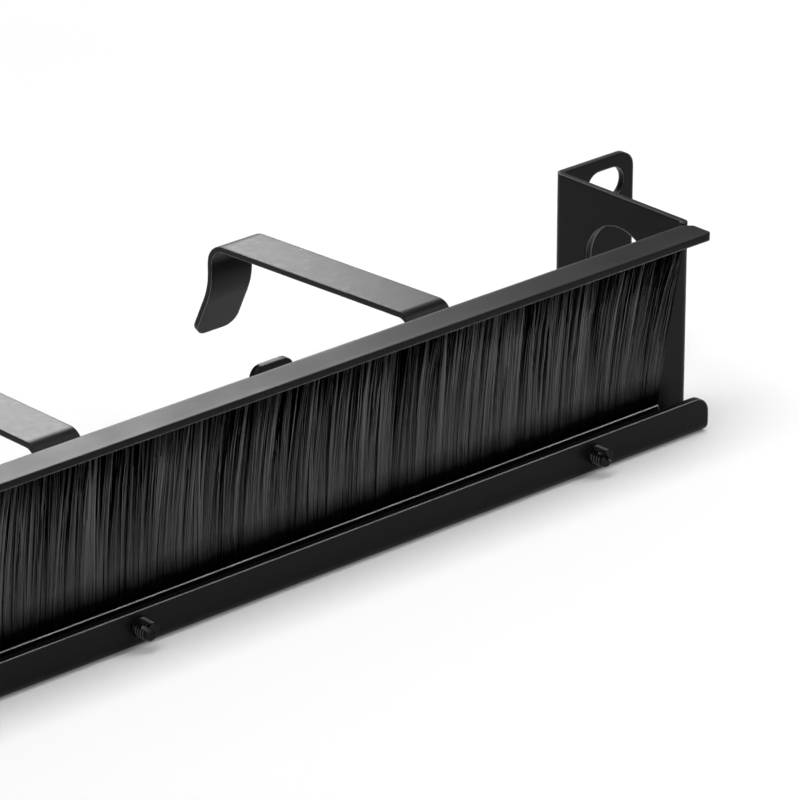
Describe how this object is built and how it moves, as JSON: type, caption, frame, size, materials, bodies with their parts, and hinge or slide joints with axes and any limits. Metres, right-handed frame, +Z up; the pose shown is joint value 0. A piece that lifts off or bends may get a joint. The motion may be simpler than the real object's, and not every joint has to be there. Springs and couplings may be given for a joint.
{
  "type": "horizontal cable manager",
  "caption": "One-unit 19-inch rack panel with a brush strip clamped in its front tray and open strip hooks behind it, for feeding and bundling cables.",
  "frame": {"origin": "centre of the four rack slots, on the rear face of the ears", "axes": "+X along the panel, -Y out through the brush, +Y towards the hooks, +Z up as racked"},
  "size_m": [0.4826, 0.0783, 0.0436],
  "materials": {
    "powder_coat": "satin black powder coat on folded steel sheet",
    "powder_coat_hook": "satin black powder coat on bent steel strip",
    "lacquered_strip": "black-lacquered steel strip with bare cut rims and ends",
    "steel_wire": "drawn steel wire",
    "nylon_bristle": "black nylon filaments",
    "black_oxide_screw": "black oxide steel"
  },
  "bodies": {
    "root": {"body": "powder_coat", "hook_1": "powder_coat_hook", "hook_2": "powder_coat_hook", "hook_3": "powder_coat_hook", "hook_4": "powder_coat_hook", "brush_channel": "lacquered_strip", "brush_wire": "steel_wire", "bristles": "nylon_bristle", "clamp_screw_1": "black_oxide_screw", "clamp_screw_2": "black_oxide_screw", "clamp_screw_3": "black_oxide_screw", "clamp_screw_4": "black_oxide_screw"}
  },
  "joints": []
}
